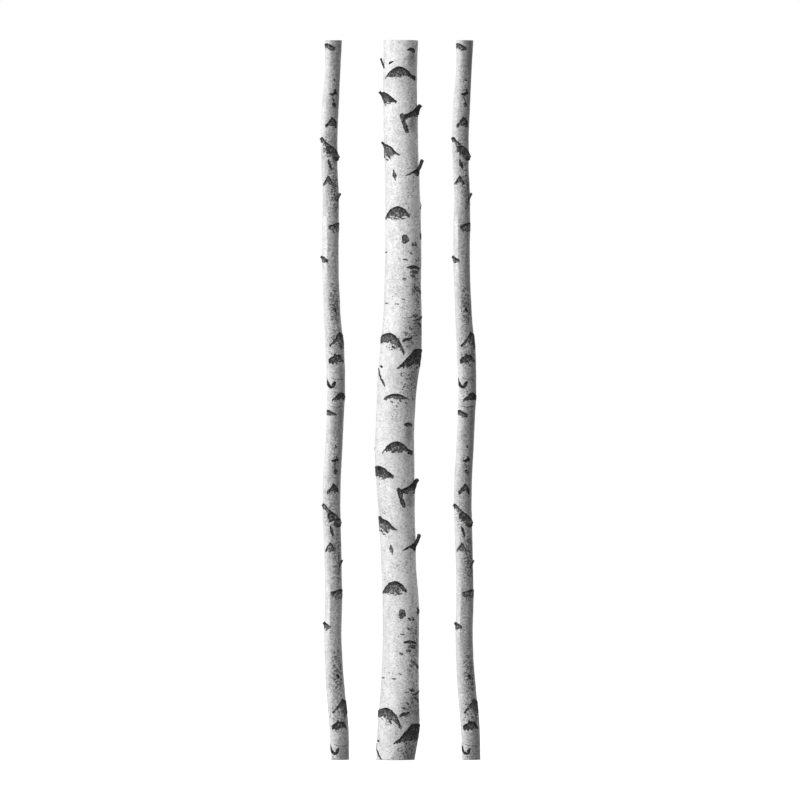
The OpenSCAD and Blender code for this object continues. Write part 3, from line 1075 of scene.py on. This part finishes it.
def add_floor():
    """A wide pale floor. To the camera it also glows, so that it is as white as the background."""
    mesh = bpy.data.meshes.new("floor")
    turns = np.linspace(0, 2 * math.pi, 64, endpoint=False)
    ring = [(FLOOR_RADIUS * math.cos(t), FLOOR_RADIUS * math.sin(t), 0) for t in turns]
    mesh.from_pydata(ring, [], [list(range(len(ring)))])
    floor = bpy.data.objects.new("floor", mesh)
    floor.location.z = -FLOOR_DROP
    bpy.context.scene.collection.objects.link(floor)
    material = bpy.data.materials.new("pale_floor")
    material.use_nodes = True
    tree = material.node_tree
    tree.nodes.clear()
    matt = tree.nodes.new("ShaderNodeBsdfDiffuse")
    matt.inputs["Color"].default_value = rgb(FLOOR_GREY)
    glow = tree.nodes.new("ShaderNodeEmission")
    glow.inputs["Strength"].default_value = FLOOR_GLOW
    both = tree.nodes.new("ShaderNodeAddShader")
    path = tree.nodes.new("ShaderNodeLightPath")
    mix = tree.nodes.new("ShaderNodeMixShader")
    output = tree.nodes.new("ShaderNodeOutputMaterial")
    tree.links.new(matt.outputs[0], both.inputs[0])
    tree.links.new(glow.outputs[0], both.inputs[1])
    tree.links.new(path.outputs["Is Camera Ray"], mix.inputs[0])
    tree.links.new(matt.outputs[0], mix.inputs[1])
    tree.links.new(both.outputs[0], mix.inputs[2])
    tree.links.new(mix.outputs[0], output.inputs[0])
    mesh.materials.append(material)


def add_world():
    """White behind the poles, and a weaker even fill light from all round."""
    world = bpy.data.worlds.new("studio")
    world.use_nodes = True
    tree = world.node_tree
    tree.nodes.clear()
    seen = tree.nodes.new("ShaderNodeBackground")
    seen.inputs["Color"].default_value = rgb(1)
    lit = tree.nodes.new("ShaderNodeBackground")
    lit.inputs["Strength"].default_value = FILL
    lit.inputs["Color"].default_value = rgb(1)
    path = tree.nodes.new("ShaderNodeLightPath")
    mix = tree.nodes.new("ShaderNodeMixShader")
    output = tree.nodes.new("ShaderNodeOutputWorld")
    tree.links.new(path.outputs["Is Camera Ray"], mix.inputs[0])
    tree.links.new(lit.outputs[0], mix.inputs[1])
    tree.links.new(seen.outputs[0], mix.inputs[2])
    tree.links.new(mix.outputs[0], output.inputs[0])
    bpy.context.scene.world = world


# ---------------------------------------------------------------------------------------------
# Putting it together
# ---------------------------------------------------------------------------------------------

MATERIALS = {
    "outer_bark": bark_material(),
    "branch_scar": cork_material(),
    "twig_stub": twig_material(),
    "wood": wood_material(),
    "inner_bark": bast_material(),
}


def settle(piece, body, slot, *nodes):
    """Gives a piece its finish and its body, and hides the CAD nodes that it stands for."""
    piece.data.materials.append(MATERIALS[slot])
    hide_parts(*nodes)
    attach(piece, body)


def lumps_at(pole, brows, proud):
    """The bark swells round each branch scar, a little past its edges, and less round a small one."""
    for points, _ in brows:
        rows = np.array(points, float)
        x, z = rows[:, 0].mean(), rows[:, 1].mean() - rows[:, 2].mean() / 2
        wide, tall = np.ptp(rows[:, 0]) / 2 + 8, np.ptp(rows[:, 1]) / 2 + 10
        at = pole.angle(x, np.array([z * MM]))[0]
        pole.lumps.append((at, z * MM, wide * MM, tall * MM, proud * min(1, wide / 40)))


def make_pole(pole, brows, strokes, back, patches, twigs, grid, proud, shaded_weathered_side):
    """All the pieces of one pole."""
    flecks, greys = (patches_again(pole, p) for p in patches)
    lumps_at(pole, brows + [back_brow(pole, *row) for row in back], SWELLING)
    name, body = pole.name, pole.body
    settle(bark(pole, *grid, flecks, greys, shaded_weathered_side), body, "outer_bark", f"{name}_outer_bark")
    settle(cork(pole, brows, strokes, back, proud), body, "branch_scar", f"{name}_branch_scars")
    settle(core(pole), body, "wood", f"{name}_wood")
    settle(bast(pole), body, "inner_bark", f"{name}_inner_bark")
    for number, row in enumerate(twigs, 1):
        settle(twig(pole, number, *row), body, "twig_stub", f"{name}_twig_stub_{number}")


def twigs_again(pole, twigs):
    """The twigs, and the same twigs on the lower stretch."""
    return twigs + [[*pole.moved(row[0], row[1]), *row[2:]] for row in twigs]


def thick_pole():
    pole = Pole("thick", "thick_pole", THICK_BARKS, THICK_AGAIN, 11)
    make_pole(
        pole,
        again(pole, THICK_BROWS) + [THICK_LOW_BROW],
        again(pole, THICK_STROKES) + THICK_LONE_STROKES,
        THICK_BACK,
        (THICK_FLECKS, THICK_GREYS),
        [THICK_FLAKE] + twigs_again(pole, THICK_TWIGS),
        THICK_GRID,
        THICK_PROUD,
        False,
    )


def slim_pole(side, seed):
    pole = Pole(f"slim_{side}", f"slim_pole_{side}", SLIM_BARKS, SLIM_AGAIN, seed)
    make_pole(
        pole,
        again(pole, SLIM_BROWS) + [SLIM_LOW_BROW],
        again(pole, SLIM_STROKES) + SLIM_LONE_STROKES,
        SLIM_BACK,
        (SLIM_FLECKS, SLIM_GREYS),
        twigs_again(pole, SLIM_TWIGS),
        SLIM_GRID,
        SLIM_PROUD,
        True,
    )


thick_pole()
slim_pole("left", 21)
slim_pole("right", 31)

add_camera()
add_light("key", azimuth=-52, elevation=12, distance=7, size=2.5, watts=445)
add_light("back", azimuth=163, elevation=25, distance=7, size=3.0, watts=300)
add_floor()
add_world()
bpy.context.scene.view_settings.view_transform = "Standard"
